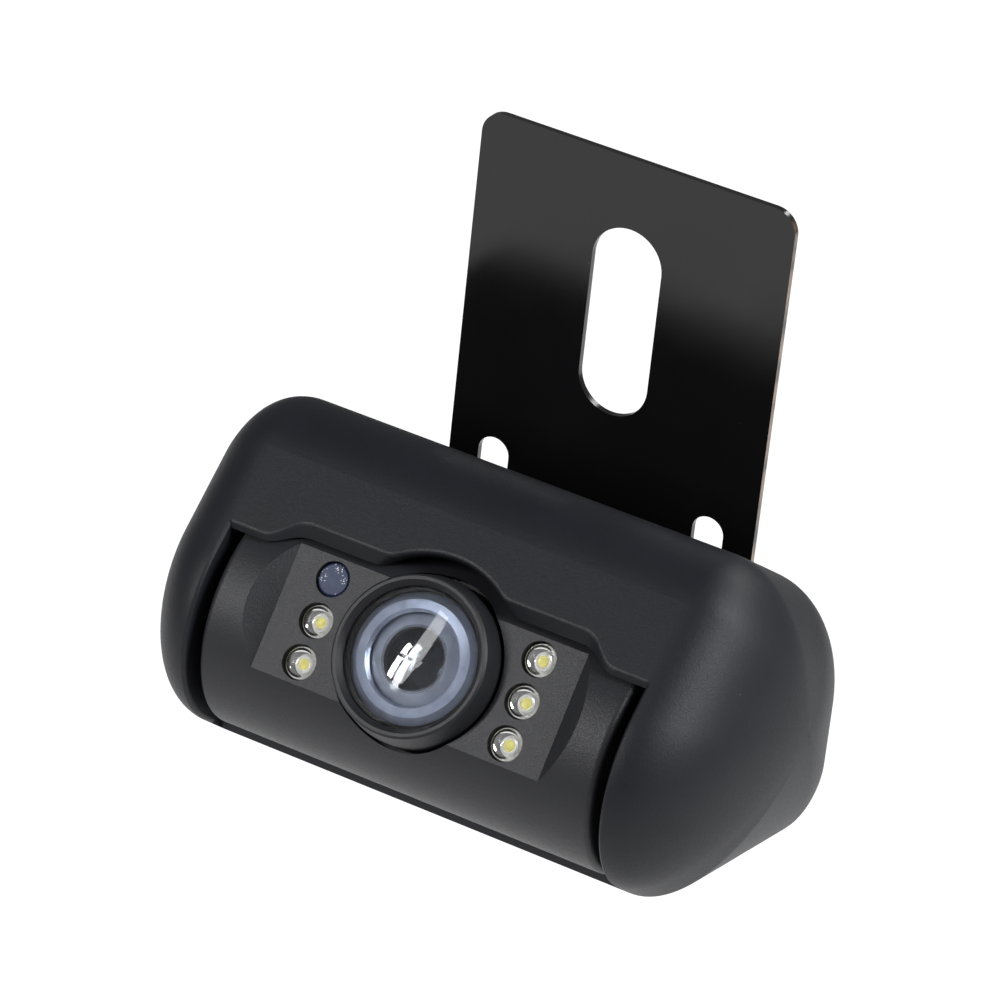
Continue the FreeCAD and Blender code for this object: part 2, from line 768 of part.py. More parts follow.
def make_drum_front(form):
    """The drum's front shell: flat LED panel, lens well, LED holes and screw bosses."""
    split, wall = cells.drum_split, cells.drum_wall
    inner_radius = cells.drum_radius - wall
    inner_half = cells.drum_half - wall
    reach = cells.drum_radius + 1
    front = shared("front_half", form, box("front_side", (-40, -reach, split), (40, reach, reach)))
    inner = shared("front_inside", drum_rod("front_bore", inner_radius, wall),
                   box("front_inside_box", (-inner_half, -reach, split),
                       (inner_half, reach, cells.panel_level - wall)))
    floor = cells.well_floor - cells.well_floor_thick
    well = cylinder("well_tube", cells.well_radius + cells.well_wall, reach, (0, 0, floor))
    hollow = cut("front_hollow", inner, [well])
    holes = [panel_cutter(), hollow, cylinder("well_bore", cells.well_radius, reach, (0, 0, cells.well_floor)),
             cylinder("floor_hole", cells.barrel_radius + 0.4, 4, (0, 0, floor - 1))]
    for side in (-1, 1):
        for row in (-1, 0, 1):
            spot = (cells.led_x * side, cells.led_pitch * row, cells.led_seat)
            name = "led_hole_%s_%d" % ("left" if side < 0 else "right", row + 1)
            holes.append(cylinder(name, cells.led_radius + 0.07, 10, spot))
    shell = cut("front_skin", front, holes)
    bosses = join("front_bosses", at_drum_screws("front_boss", DRUM_BOSS, split, reach))
    ends = [cylinder("pivot_boss_left", PIVOT_BOSS, 5, (-cells.drum_half + 0.5, 0, 0), "X"),
            cylinder("pivot_boss_right", PIVOT_BOSS, 5, (cells.drum_half - 5.5, 0, 0), "X")]
    added = shared("front_added", join("front_inner_parts", [bosses] + ends),
                   shared("front_room", drum_rod("front_room_rod", cells.drum_radius - 1, 0.5),
                          box("front_room_box", (-40, -reach, split), (40, reach, reach))))
    blank = join("front_blank", [shell, added])
    pilots = at_drum_screws("front_pilot", 1.2, split - 1, 6)
    for word, start in (("left", -cells.drum_half - 1), ("right", cells.drum_half - PIVOT_INSERT_LENGTH)):
        pilots.append(
            cylinder("insert_seat_" + word, PIVOT_INSERT, PIVOT_INSERT_LENGTH + 1, (start, 0, 0), "X"))
    keep(cut("drum_front_shell", blank, pilots), "drum_front_shell", drum_frame())


SEAL_X, SEAL_Y = 1.0, 1.5  # the seal's middle line, in from the drum's ends and sides
SEAL_WIDE, SEAL_DEEP = 1.0, 0.8


def seal_frame(name, plus=0):
    """The seal between the shells: a square-cut ring in a groove."""
    half_x = cells.drum_half - SEAL_X
    half_y = cells.drum_radius - SEAL_Y
    low = cells.drum_split - SEAL_DEEP
    outer_x, outer_y = half_x + SEAL_WIDE / 2, half_y + SEAL_WIDE / 2
    inner_x, inner_y = half_x - SEAL_WIDE / 2, half_y - SEAL_WIDE / 2
    outer = box(name + "_outer", (-outer_x, -outer_y, low), (outer_x, outer_y, cells.drum_split + plus))
    inner = box(name + "_inner", (-inner_x, -inner_y, low - 1), (inner_x, inner_y, cells.drum_split + 1))
    return cut(name, outer, [inner])


DRUM_HEAD_SEAT = -11.0
GLAND_RADIUS = 3.0


def make_drum_rear(form):
    """The drum's rear shell: screw posts, board posts, seal groove and cable gland hole."""
    split, wall = cells.drum_split, cells.drum_wall
    reach = cells.drum_radius + 1
    rear = shared("rear_half", form, box("rear_side", (-40, -reach, -reach), (40, reach, split)))
    hollow = drum_rod("rear_bore", cells.drum_radius - wall, wall)
    skin = cut("rear_skin", rear, [hollow])
    posts = at_drum_screws("rear_post", DRUM_BOSS, -reach, split)
    for word, side in (("left", -1), ("right", 1)):
        posts.append(cylinder("board_post_" + word, 2, size(-11) + reach, (side * 18, 0, -reach)))
    room = shared("rear_room", drum_rod("rear_room_rod", cells.drum_radius - 1, 0.5),
                  box("rear_room_box", (-40, -reach, -reach), (40, reach, split)))
    blank = join("rear_blank", [skin, shared("rear_posts", join("rear_post_set", posts), room)])
    holes = at_drum_screws("rear_hole", 1.35, -reach, split + 1)
    holes += at_drum_screws("rear_sink", 2.45, -reach, DRUM_HEAD_SEAT)
    holes.append(seal_frame("seal_groove", plus=1))
    holes.append(cylinder("gland_hole", GLAND_RADIUS, 6, (0, 0, -reach)))
    keep(cut("drum_rear_shell", blank, holes), "drum_rear_shell", drum_frame())
    keep(seal_frame("drum_seal"), "drum_seal", drum_frame())


def make_drum_hardware():
    """The drum's screws, gland, pivots and friction washers."""
    screws = []
    for index, (side, row) in enumerate(((-1, -1), (-1, 1), (1, -1), (1, 1))):
        name = "drum_screw_%d" % index
        head = cylinder(name + "_head", 2.2, 1.6, (0, 0, -1.6))
        shank = cylinder(name + "_shank", 1.18, 14)
        drive = doc.addObject("Part::Prism", name + "_socket")
        drive.Polygon = 6
        put(drive, "Circumradius", 0.9)
        put(drive, "Height", 1.0)
        set_place(drive, (0, 0, -1.6))
        made = cut(name, join(name + "_blank", [head, shank]), [drive])
        set_place(made, (cells.drum_screw_x * side, cells.drum_screw_y * row, DRUM_HEAD_SEAT))
        screws.append(made)
    keep(group("drum_screws", screws), "drum_screws", drum_frame())

    # the inner flange stands where its rim clears the curved wall
    inside = -(cells.drum_radius - cells.drum_wall) + 0.75
    outline = [(1.9, inside + 1.3), (1.9, -19.6), (3.4, -19.6), (3.8, -19.2), (3.8, -17.6), (GLAND_RADIUS, -17.6),
               (GLAND_RADIUS, inside), (4.4, inside), (4.4, inside + 1.3)]
    keep(turned("drum_cable_gland", outline), "drum_cable_gland", drum_frame())

    half = cells.drum_half
    wall_start, wall_end = cells.mouth_half, cells.mouth_half + cells.cheek_wall
    shoulder, thread, head = 2.5, 2.0, 4.2
    washer = 0.4
    inserts, pins, washers = [], [], []
    for word, side in (("left", -1), ("right", 1)):
        turn = FreeCAD.Rotation(FreeCAD.Vector(0, 0, 1), FreeCAD.Vector(side, 0, 0))
        place = FreeCAD.Placement(drum_frame().Base, turn)
        bush = turned("pivot_bush_" + word, [
            (shoulder + 0.06, half + 0.1), (5.4, half + 0.1), (5.4, wall_start), (BUSH_RADIUS, wall_start),
            (BUSH_RADIUS, wall_end), (shoulder + 0.06, wall_end)])
        keep(bush, "pivot_bush_" + word, place)
        insert = turned("pivot_insert_" + word, [
            (thread, half - PIVOT_INSERT_LENGTH), (PIVOT_INSERT, half - PIVOT_INSERT_LENGTH),
            (PIVOT_INSERT, half), (thread, half)])
        insert.Placement = place
        inserts.append(insert)
        pin = turned("pivot_screw_" + word, [
            (0, half - PIVOT_INSERT_LENGTH), (thread, half - PIVOT_INSERT_LENGTH), (thread, half), (shoulder, half),
            (shoulder, wall_end + washer), (head, wall_end + washer), (head, wall_end + washer + 1.6),
            (head - 0.5, wall_end + washer + 2.1), (0, wall_end + washer + 2.1)])
        pin.Placement = place
        pins.append(pin)
        section = tube_outline(shoulder + 0.02, head + 0.4, wall_end, wall_end + washer)
        ring = turned("friction_washer_" + word, section)
        ring.Placement = place
        washers.append(ring)
    keep(group("pivot_inserts", inserts), "pivot_inserts")
    keep(group("pivot_screws", pins), "pivot_screws")
    keep(group("friction_washers", washers), "friction_washers")


# ------------------------------------------------------------- lens and LEDs

def make_bezel():
    """The bezel ring that stands out round the lens, with its glass and seal."""
    level, floor = cells.panel_level, cells.well_floor
    rim = level + cells.bezel_rise
    bore = cells.glass_radius + 0.1
    ledge = cells.glass_level - 0.8
    outline = [
        (9.0, floor), (cells.bezel_radius, floor), (cells.bezel_radius, level),
        (cells.bezel_rim_radius + 0.05, rim - 0.3), (cells.bezel_rim_radius - 0.25, rim),
        (10.7, rim), (10.45, rim - 0.3), (bore, cells.glass_level + cells.glass_thick + 0.2),
        (bore, ledge), (9.0, ledge)]
    keep(turned("lens_bezel", outline), "lens_bezel", drum_frame())
    low, radius = cells.glass_level, cells.glass_radius
    peak = cells.glass_ball + cells.glass_ball_centre
    glass = lens_body("cover_dome", radius, low, peak + 1, (cells.glass_ball, cells.glass_ball_centre))
    keep(glass, "cover_glass", drum_frame())
    ring = doc.addObject("Part::Torus", "glass_o_ring")
    put(ring, "Radius1", radius - 0.4)
    put(ring, "Radius2", 0.4)
    lift = FreeCAD.Placement(FreeCAD.Vector(0, 0, low.value - 0.4), FreeCAD.Rotation())
    keep(ring, "glass_o_ring", drum_frame().multiply(lift))
    sleeve = [(8.1, floor), (8.9, floor), (8.9, 14.5), (8.1, 14.5)]
    keep(turned("lens_sleeve", sleeve), "lens_sleeve", drum_frame())


def lens_body(name, radius, low, high, front_ball, rear_ball=None):
    """A lens ground from a disc: balls are (radius, centre height)."""
    blank = cylinder(name + "_blank", radius, size(high) - low, (0, 0, low))
    lens = shared(name + "_front", blank, sphere(name + "_front_ball", *front_ball))
    if rear_ball is None:
        return lens
    return cut(name + "_ground", lens, [sphere(name + "_rear_ball", *rear_ball)])


def make_lens():
    """The M12 lens: barrel, three elements and the ring that keeps the front one in."""
    radius = cells.barrel_radius
    outline = [
        (4.3, -2.0), (radius, -2.0), (radius, 8.6), (8.0, 8.6), (8.0, 14.7), (7.15, 14.7), (7.15, 12.9),
        (5.2, 12.9), (4.3, 11.3)]
    keep(turned("lens_barrel", outline), "lens_barrel", drum_frame())
    front = lens_body("front_element", 7.1, 12.9, 16.5, (14.0, 2.1), (7.0, 7.0))
    keep(front, "front_lens_element", drum_frame())
    middle = lens_body("middle_element", 4.25, 5.0, 8.0, (7.0, 0.6))
    keep(middle, "middle_lens_element", drum_frame())
    rear = lens_body("rear_element", 4.25, 0.5, 3.2, (8.0, -4.9))
    keep(rear, "rear_lens_element", drum_frame())
    ring = [(6.1, 15.0), (7.1, 14.7), (8.85, 14.7), (8.85, 15.2), (7.9, 16.0), (6.6, 16.0), (6.1, 15.5)]
    keep(turned("lens_retaining_ring", ring), "lens_retaining_ring", drum_frame())


def rectangle(half_x, half_y):
    """The corners of a rectangle about the origin."""
    return [(-half_x, -half_y), (half_x, -half_y), (half_x, half_y), (-half_x, half_y)]


def board(label, half_x, half_y, low, thick, holes=(), at=(0, 0)):
    """A flat board in the drum, with round holes of (x, y, radius)."""
    body = padded(label, "XY_Plane", lambda s: draw_outline(s, rectangle(half_x, half_y)), thick)
    if holes:
        def draw(sketch):
            for x, y, radius in holes:
                draw_circle(sketch, x, y, radius)

        pocket(body, label + "_holes", "XY_Plane", draw, thick, backwards=True)
    lift = FreeCAD.Placement(FreeCAD.Vector(size(at[0]).value, at[1], low), FreeCAD.Rotation())
    keep(body, label, drum_frame().multiply(lift))


def make_electronics():
    """Boards, sensor, lens holder and stand-offs, all inside the drum."""
    corner = 10.0
    corners = [(x, y, 1.2) for x in (-corner, corner) for y in (-corner, corner)]
    side_holes = [(-9.4, 0, 0.85), (9.4, 0, 0.85)]
    board("camera_board", 12, 12, -6.2, 1.2, corners + side_holes)
    board("power_board", 21, 8.8, -11.0, 1.2, [(-18, 0, 1.1), (18, 0, 1.1)])
    board("image_sensor", 3.5, 3.2, -5.0, 1.4)
    board("board_connector", 3.5, 2.2, -9.8, 2.6, at=(15.0, 0))
    low, top = -5.0, 6.6
    holder = padded("lens_holder", "XY_Plane", lambda s: draw_outline(s, rectangle(11.0, 7.4)), 1.6)
    doc.recompute()
    tower = holder.newObject("PartDesign::Pad", "lens_holder_tower")
    circle = new_sketch(holder, "lens_holder_circle", "XY_Plane")
    draw_circle(circle, 0, 0, 7.9)
    tower.Profile = circle
    put(tower, "Length", top - low)
    holder.Tip = tower

    def bore(sketch):
        draw_circle(sketch, 0, 0, cells.barrel_radius + 0.03)
        for x, y, radius in side_holes:
            draw_circle(sketch, x, y, radius)

    pocket(holder, "lens_holder_bores", "XY_Plane", bore, top - low, backwards=True)
    lift = FreeCAD.Placement(FreeCAD.Vector(0, 0, low), FreeCAD.Rotation())
    keep(holder, "lens_holder", drum_frame().multiply(lift))
    screws = []
    for index, (x, y, radius) in enumerate(side_holes):
        head = cylinder("holder_screw_head_%d" % index, 1.5, 0.9, (x, y, -7.1))
        shank = cylinder("holder_screw_shank_%d" % index, radius - 0.05, 2.8, (x, y, -6.2))
        screws.append(join("holder_screw_%d" % index, [head, shank]))
    keep(group("lens_holder_screws", screws), "lens_holder_screws", drum_frame())
    stands = []
    floor = cells.well_floor - cells.well_floor_thick
    for index, (x, y, radius) in enumerate(corners):
        post = cylinder("standoff_post_%d" % index, 1.8, floor + 5.0, (x, y, -5.0))
        stub = cylinder("standoff_stub_%d" % index, radius - 0.05, 1.9, (x, y, -6.9))
        stands.append(join("standoff_%d" % index, [post, stub]))
    keep(group("board_standoffs", stands), "board_standoffs", drum_frame())


def make_lights():
    """Two LED boards, five LEDs and the light sensor."""
    board_half, board_long, thick = 2.9, 9.1, 1.2
    seat = cells.led_seat.value
    centre = cells.led_x + 0.5
    board("led_board_left", board_half, board_long, seat - thick, thick, at=(-centre, 0))
    board("led_board_right", board_half, board_long, seat - thick, thick, at=(centre, 0))
    radius = cells.led_radius
    top = cells.panel_level + 0.7
    number = 0
    for side in (1, -1):
        for row in (1, 0, -1):
            spot = FreeCAD.Vector(cells.led_x.value * side, cells.led_pitch.value * row, 0)
            place = drum_frame().multiply(FreeCAD.Placement(spot, FreeCAD.Rotation()))
            if side < 0 and row == 1:
                sensor = [(0, seat), (radius + 0.3, seat), (radius + 0.3, seat + 1), (radius - 0.1, seat + 1),
                          (radius - 0.1, cells.panel_level - 0.6), (radius - 0.4, cells.panel_level - 0.3),
                          (0, cells.panel_level - 0.3)]
                keep(turned("light_sensor", sensor), "light_sensor", place)
                continue
            number += 1
            name = "white_led_%d" % number
            flange = cylinder(name + "_flange", radius + 0.3, 1.0, (0, 0, seat))
            stem = cylinder(name + "_stem", radius, top - radius - seat, (0, 0, seat))
            dome = sphere(name + "_dome", radius, top - radius)
            keep(join(name, [flange, stem, dome]), name, place)


# ---------------------------------------------------------------------- output

def check(thing):
    """Stop if a document object failed or a sub-part's shape is unusable."""
    if "Invalid" in thing.State or "Error" in thing.State:
        raise RuntimeError("%s is %s" % (thing.Label, thing.State))


def write_parts():
    """Check every object, then write each sub-part's shape."""
    for thing in doc.Objects:
        check(thing)
    for label, thing in subparts.items():
        if thing.Shape.isNull() or not thing.Shape.isValid() or not thing.Shape.Solids:
            raise RuntimeError(label + " has no valid shape")
    os.makedirs("parts", exist_ok=True)
    for label, thing in subparts.items():
        thing.Shape.exportStep("parts/%s.step" % label)


def main():
    make_bracket()
    make_hood()
    make_hood_hardware()
    make_grommet()
    form = drum_form()
    make_drum_front(form)
    make_drum_rear(form)
    make_drum_hardware()
    make_bezel()
    make_lens()
    make_electronics()
    make_lights()
    doc.recompute()
    write_parts()
    for label, thing in subparts.items():
        box_ = thing.Shape.BoundBox
        print("%-20s solids %d volume %9.1f mm3  x %6.1f %6.1f  y %6.1f %6.1f  z %6.1f %6.1f" % (
            label, len(thing.Shape.Solids), thing.Shape.Volume, box_.XMin, box_.XMax, box_.YMin, box_.YMax,
            box_.ZMin, box_.ZMax))


main()
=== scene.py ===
"""Looks for a backup camera: a drum with a lens and LEDs in a domed hood, on a slotted bracket."""

import math

import bmesh
import bpy
from mathutils import Matrix, Vector


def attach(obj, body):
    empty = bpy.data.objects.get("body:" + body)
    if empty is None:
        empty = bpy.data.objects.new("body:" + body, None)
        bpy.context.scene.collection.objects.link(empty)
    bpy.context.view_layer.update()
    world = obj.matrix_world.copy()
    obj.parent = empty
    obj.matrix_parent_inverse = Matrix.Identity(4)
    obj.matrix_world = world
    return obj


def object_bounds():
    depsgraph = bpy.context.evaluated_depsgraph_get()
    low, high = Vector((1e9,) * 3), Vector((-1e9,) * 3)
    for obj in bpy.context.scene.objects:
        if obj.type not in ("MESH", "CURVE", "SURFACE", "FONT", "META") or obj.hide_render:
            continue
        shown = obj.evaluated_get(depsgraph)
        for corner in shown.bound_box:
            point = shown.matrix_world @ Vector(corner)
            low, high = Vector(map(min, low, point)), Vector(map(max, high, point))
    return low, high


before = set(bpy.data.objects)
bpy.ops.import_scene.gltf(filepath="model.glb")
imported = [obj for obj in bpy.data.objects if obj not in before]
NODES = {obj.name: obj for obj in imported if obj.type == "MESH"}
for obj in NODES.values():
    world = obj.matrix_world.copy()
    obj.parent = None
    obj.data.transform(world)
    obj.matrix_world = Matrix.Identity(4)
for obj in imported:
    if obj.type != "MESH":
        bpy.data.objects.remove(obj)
cad_low, cad_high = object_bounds()
MM = 0.001

# the drum's own frame has its origin on the tilt axis and its Z along the lens
TILT_AXIS = Vector((0, -38.7, -40.8)) * MM
LENS_RISE = math.radians(36.56)
LENS_TURN = math.pi / 2 - LENS_RISE
DRUM_FRAME = Matrix.Translation(TILT_AXIS) @ Matrix.Rotation(LENS_TURN, 4, "X")

# millimetres in that frame
PANEL_LEVEL = 14.85
LED_COLUMN = 16.5
LED_PITCH = 6.16
LED_TOP = PANEL_LEVEL + 0.7
CUP_RIM = LED_TOP - 1.9
CUP_WELL = CUP_RIM - 0.9
PUPIL_RADIUS = 4.0

# the bracket's half width, in millimetres
PLATE_HALF = 25.0

HOOD_BLACK = (0.008, 0.0084, 0.0112)
DRUM_BLACK = (0.0135, 0.0138, 0.0165)
BEZEL_BLACK = (0.012, 0.0122, 0.0142)
INNER_BLACK = (0.006, 0.006, 0.0065)
ACETAL = (0.5, 0.5, 0.48)
WHITE = (1.0, 1.0, 1.0, 1.0)


# ------------------------------------------------------------------ materials

class Shader:
    """A node material under construction, with its Principled shader at hand."""

    def __init__(self, name, **settings):
        self.material = bpy.data.materials.new(name)
        self.material.use_nodes = True
        self.tree = self.material.node_tree
        self.bsdf = self.tree.nodes["Principled BSDF"]
        for key, value in settings.items():
            self.set(key.replace("_", " "), value)
        self.coordinates = self.tree.nodes.new("ShaderNodeTexCoord")
        self.bumps = None

    def set(self, socket, value):
        self.bsdf.inputs[socket].default_value = value

    def link(self, source, target):
        self.tree.links.new(source, target)

    def node(self, kind, inputs=None, **attributes):
        """A new node, whose inputs are sockets to link or values to set."""
        made = self.tree.nodes.new("ShaderNode" + kind)
        for key, value in attributes.items():
            setattr(made, key, value)
        for key, value in (inputs or {}).items():
            if isinstance(value, bpy.types.NodeSocket):
                self.link(value, made.inputs[key])
            else:
                made.inputs[key].default_value = value
        return made

    def noise(self, size_mm, detail=2.0, roughness=0.5):
        """Noise whose features are about size_mm across."""
        inputs = {"Vector": self.coordinates.outputs["Object"], "Scale": 1 / (size_mm * MM),
                  "Detail": detail, "Roughness": roughness}
        return self.node("TexNoise", inputs).outputs["Fac"]

    def cells(self, size_mm, feature="F1"):
        """The distance to the points, or to the borders, of cells about size_mm across."""
        inputs = {"Vector": self.coordinates.outputs["Object"], "Scale": 1 / (size_mm * MM)}
        return self.node("TexVoronoi", inputs, feature=feature).outputs["Distance"]

    def ramp(self, source, low, high, start=0.0, end=1.0):
        """The source stretched from low..high to start..end, and held there."""
        made = self.node("MapRange", {"Value": source, "From Min": low, "From Max": high,
                                      "To Min": start, "To Max": end}, clamp=True)
        return made.outputs["Result"]

    def math(self, operation, first, second=0.0):
        made = self.node("Math", {0: first, 1: second}, operation=operation)
        return made.outputs["Value"]

    def mix(self, factor, first, second):
        """A colour between two colours, each one a socket or three numbers."""
        made = self.node("Mix", {0: factor}, data_type="RGBA")
        for index, value in ((6, first), (7, second)):
            if isinstance(value, bpy.types.NodeSocket):
                self.link(value, made.inputs[index])
            else:
                made.inputs[index].default_value = (*value, 1.0)
        return made.outputs[2]

    def dust(self, spacing, edge, patch, patch_from):
        """1 on small specks, about spacing mm apart, within patches about patch mm across."""
        specks = self.ramp(self.cells(spacing), 0.035, edge)
        patches = self.ramp(self.noise(patch), patch_from, patch_from + 0.06)
        return self.math("MULTIPLY", specks, patches)

    def bump(self, height, depth_mm):
        """Adds relief of the given depth to what is there already."""
        inputs = {"Height": height, "Distance": depth_mm * MM, "Strength": 1.0}
        if self.bumps is not None:
            inputs["Normal"] = self.bumps
        self.bumps = self.node("Bump", inputs).outputs["Normal"]
        self.link(self.bumps, self.bsdf.inputs["Normal"])

    def colour(self, source):
        self.link(source, self.bsdf.inputs["Base Color"])

    def rough(self, source):
        self.link(source, self.bsdf.inputs["Roughness"])

    def place(self):
        """The surface point's x, y and z, in metres."""
        return self.node("SeparateXYZ", {0: self.coordinates.outputs["Object"]}).outputs

    def facing(self):
        """The surface normal's x, y and z."""
        return self.node("SeparateXYZ", {0: self.coordinates.outputs["Normal"]}).outputs


def scaled(colour, share):
    return tuple(part * share for part in colour)


def moulded(name, colour, roughness, grain, depth, specular):
    """Moulded plastic: spark-eroded grain and its depth in mm, faint clouding, a few specks of dust."""
    shader = Shader(name, IOR=1.46)
    shader.set("Specular IOR Level", specular)
    fine = shader.noise(grain, detail=3.0, roughness=0.6)
    tone = shader.mix(shader.noise(9.0, detail=3.0), scaled(colour, 0.85), scaled(colour, 1.2))
    dust = shader.dust(spacing=2.6, edge=0.02, patch=7.0, patch_from=0.6)
    shader.colour(shader.mix(dust, tone, (0.16, 0.16, 0.17)))
    shader.rough(shader.ramp(fine, 0.3, 0.7, roughness - 0.06, roughness + 0.08))
    shader.bump(fine, depth)
    shader.bump(shader.noise(grain * 3.5, detail=1.0), depth * 0.4)
    return shader.material


def bracket_paint():
    """Gloss black stoved paint on sheet steel, worn along the sheared edge at +X."""
    shader = Shader("bracket_paint", IOR=1.5)
    shader.set("Specular IOR Level", 0.48)
    paint = shader.mix(shader.noise(22.0, detail=3.0), (0.003, 0.003, 0.0032), (0.0055, 0.0055, 0.006))
    dust = shader.dust(spacing=3.1, edge=0.018, patch=6.0, patch_from=0.56)
    painted = shader.mix(dust, paint, (0.22, 0.21, 0.19))
    edge = shader.ramp(shader.math("ABSOLUTE", shader.facing()["Y"]), 0.8, 0.4)
    side = shader.ramp(shader.place()["X"], (PLATE_HALF - 1) * MM, (PLATE_HALF - 0.2) * MM)
    patches = shader.ramp(shader.noise(4.0), 0.35, 0.6)
    worn = shader.math("MULTIPLY", shader.math("MULTIPLY", edge, side), patches)
    shader.colour(shader.mix(worn, painted, (0.16, 0.105, 0.075)))
    shader.rough(shader.ramp(shader.noise(14.0, detail=4.0), 0.3, 0.75, 0.13, 0.24))
    shader.bump(shader.noise(2.2, detail=1.0), 0.004)
    return shader.material


def metal(name, colour, roughness, scratch=0.25):
    """Bare or plated metal with fine scratches, that many mm apart, and slightly uneven polish."""
    shader = Shader(name, Metallic=1.0)
    fine = shader.noise(scratch, detail=4.0)
    shader.colour(shader.mix(shader.noise(2.5), scaled(colour, 0.8), colour))
    shader.rough(shader.ramp(fine, 0.3, 0.7, roughness * 0.7, roughness * 1.4))
    shader.bump(fine, 0.004)
    return shader.material


def rubber(name, colour):
    """Dull moulded rubber, faintly blotched."""
    shader = Shader(name)
    shader.set("Specular IOR Level", 0.3)
    shader.colour(shader.mix(shader.noise(3.0, detail=4.0), scaled(colour, 0.7), scaled(colour, 1.3)))
    shader.rough(shader.ramp(shader.noise(0.6), 0.3, 0.7, 0.55, 0.75))
    shader.bump(shader.noise(0.25, detail=3.0), 0.006)
    return shader.material


def circuit_board():
    """Green solder mask over tracks, with pads."""
    shader = Shader("circuit_board", Roughness=0.28)
    on_track = shader.ramp(shader.cells(1.4, feature="DISTANCE_TO_EDGE"), 0.05, 0.09)
    mask = shader.mix(on_track, (0.012, 0.09, 0.035), (0.02, 0.16, 0.06))
    pads = shader.ramp(shader.cells(2.3), 0.16, 0.13)
    shader.colour(shader.mix(pads, mask, (0.7, 0.68, 0.6)))
    shader.bump(on_track, 0.02)
    return shader.material


def clear(name, colour, ior):
    """Clear glass or epoxy, with a breath of unevenness in its polish."""
    shader = Shader(name, IOR=ior, Transmission_Weight=1.0)
    shader.colour(shader.mix(shader.noise(6.0), colour, scaled(colour, 0.97)))
    shader.rough(shader.ramp(shader.noise(1.5), 0.4, 0.8, 0.0, 0.02))
    return shader.material


def lens_radius(shader):
    """Distance from the lens axis, in metres."""
    point = shader.coordinates.outputs["Object"]
    shifted = shader.node("VectorMath", {0: point, 1: -TILT_AXIS}, operation="ADD")
    turned = shader.node("VectorRotate", {"Vector": shifted.outputs[0], "Angle": LENS_TURN},
                         rotation_type="X_AXIS", invert=True)
    flat = shader.node("VectorMath", {0: turned.outputs[0], 1: (1, 1, 0)}, operation="MULTIPLY")
    return shader.node("VectorMath", {0: flat.outputs[0]}, operation="LENGTH").outputs["Value"]


def lens_frost_and_painted_reflection():
    """The front element: clear over the pupil, finely frosted outside it, with a bluish-white painted
    reflection there.
    """
    shader = Shader("lens_frost_and_painted_reflection", IOR=1.6)
    shader.set("Coat Weight", 1.0)
    shader.set("Coat Roughness", 0.03)
    outside_pupil = shader.ramp(lens_radius(shader), PUPIL_RADIUS * MM, (PUPIL_RADIUS + 0.5) * MM)
    cloud = shader.noise(2.0, detail=3.0)
    # painted reflection: bluish-white colour outside the pupil stands in for the studio reflected in the
    # lens
    painted_reflection = shader.mix(cloud, (0.2, 0.235, 0.33), (0.5, 0.55, 0.68))
    shader.colour(shader.mix(outside_pupil, (0.8, 0.85, 0.95), painted_reflection))
    shader.link(shader.ramp(outside_pupil, 0.0, 1.0, 1.0, 0.35), shader.bsdf.inputs["Transmission Weight"])
    shader.rough(shader.ramp(outside_pupil, 0.0, 1.0, 0.02, 0.3))
    shader.bump(cloud, 0.02)
    return shader.material


def frosted_ring():
    """Bright metal with a fine frosted face and a bluish cast."""
    shader = Shader("frosted_ring", Metallic=0.75)
    cloud = shader.noise(1.6, detail=3.0)
    shader.colour(shader.mix(cloud, (0.26, 0.31, 0.43), (0.58, 0.63, 0.77)))
    shader.rough(shader.ramp(shader.noise(1.1), 0.35, 0.65, 0.3, 0.42))
    shader.bump(shader.noise(0.9), 0.006)
    return shader.material


def sensor_face():
    """Dark bluish resin with painted highlights: pale specks on facet cells, in patches."""
    shader = Shader("sensor_face", Roughness=0.4)
    shader.set("Specular IOR Level", 0.12)
    facets = shader.cells(0.3)
    patches = shader.ramp(shader.noise(1.6), 0.54, 0.6)
    # painted highlights: near-white colour on facet cells within the patches
    painted_glint = shader.math("MULTIPLY", shader.ramp(facets, 0.3, 0.2), patches)
    body = shader.mix(shader.noise(1.8, detail=3.0), (0.011, 0.018, 0.045), (0.034, 0.05, 0.1))
    shader.colour(shader.mix(painted_glint, body, (0.9, 0.9, 0.95)))
    shader.bump(facets, 0.006)
    return shader.material


def phosphor():
    """A white LED's yellow chip, with a faint painted glow that reads through the epoxy."""
    shader = Shader("phosphor", Roughness=0.6)
    grain = shader.noise(0.15, detail=3.0)
    shader.colour(shader.mix(grain, (0.85, 0.78, 0.18), (0.95, 0.92, 0.4)))
    # painted glow: the unlit chip gives off a little light of its own
    shader.set("Emission Color", (1.0, 0.9, 0.3, 1.0))
    shader.set("Emission Strength", 0.15)
    shader.bump(shader.noise(0.1), 0.01)
    return shader.material


def package(name, colour, roughness, painted_glow=0.0):
    """Small moulded parts on the boards and in the LEDs, with an optional painted glow of their own."""
    shader = Shader(name)
    # painted glow: emission on a part that is no lamp
    shader.set("Emission Color", WHITE)
    shader.set("Emission Strength", painted_glow)
    shader.colour(shader.mix(shader.noise(1.0, detail=2.0), scaled(colour, 0.8), colour))
    shader.rough(shader.ramp(shader.noise(0.5), 0.3, 0.7, roughness - 0.05, roughness + 0.05))
    shader.bump(shader.noise(0.2), 0.004)
    return shader.material


